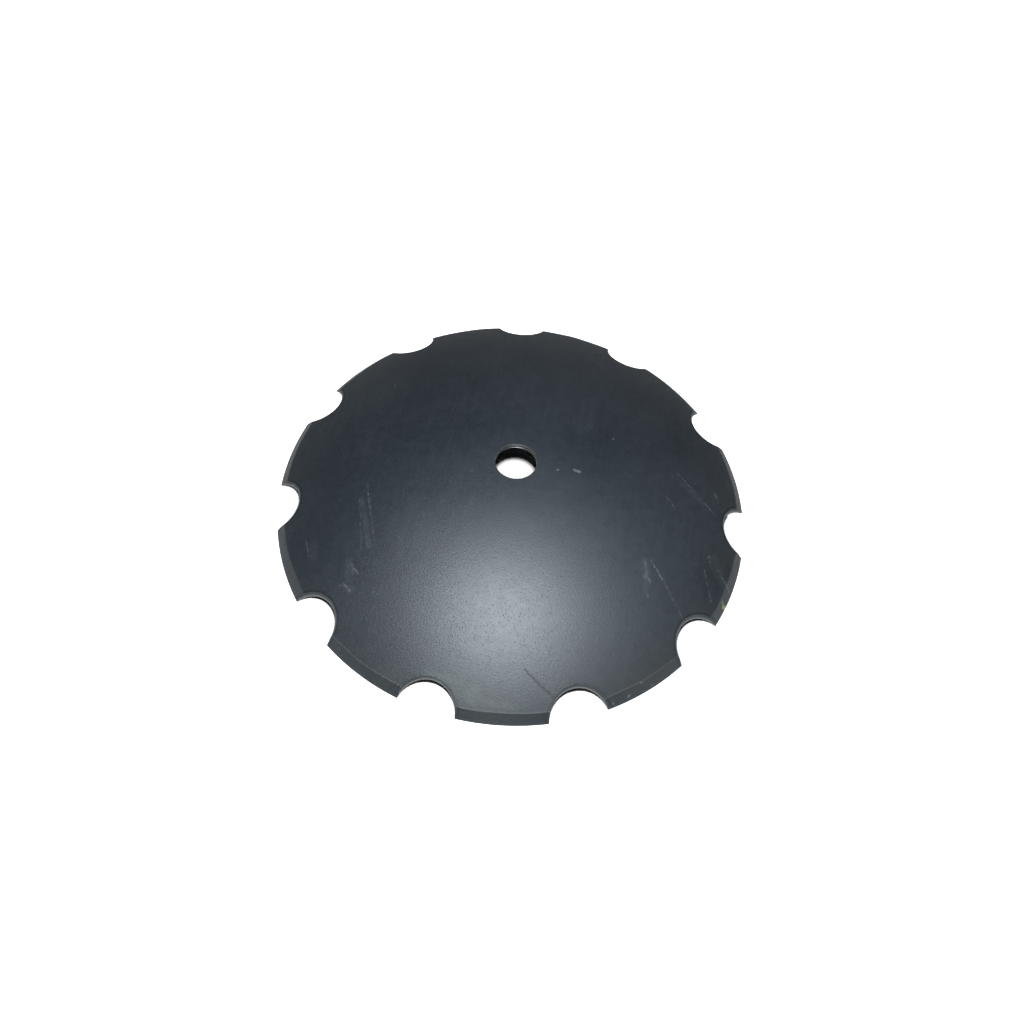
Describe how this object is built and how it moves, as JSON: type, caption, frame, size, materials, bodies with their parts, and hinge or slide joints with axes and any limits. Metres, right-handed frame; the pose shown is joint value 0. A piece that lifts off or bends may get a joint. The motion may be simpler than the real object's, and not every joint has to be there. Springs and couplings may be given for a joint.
{
  "type": "harrow disc blade",
  "caption": "Dished round steel harrow blade with scalloped, bevelled cutting rim and central round bore.",
  "frame": {"origin": "centre of the rim plane, on the disc's axis, where the cutting edge rests", "axes": "+Z along the disc's axis out of the convex side; +X through the middle of one notch"},
  "size_m": [0.6579, 0.66, 0.081],
  "materials": {
    "blade_steel": "satin"
  },
  "bodies": {
    "root": {"disc_blade": "blade_steel"}
  },
  "joints": []
}
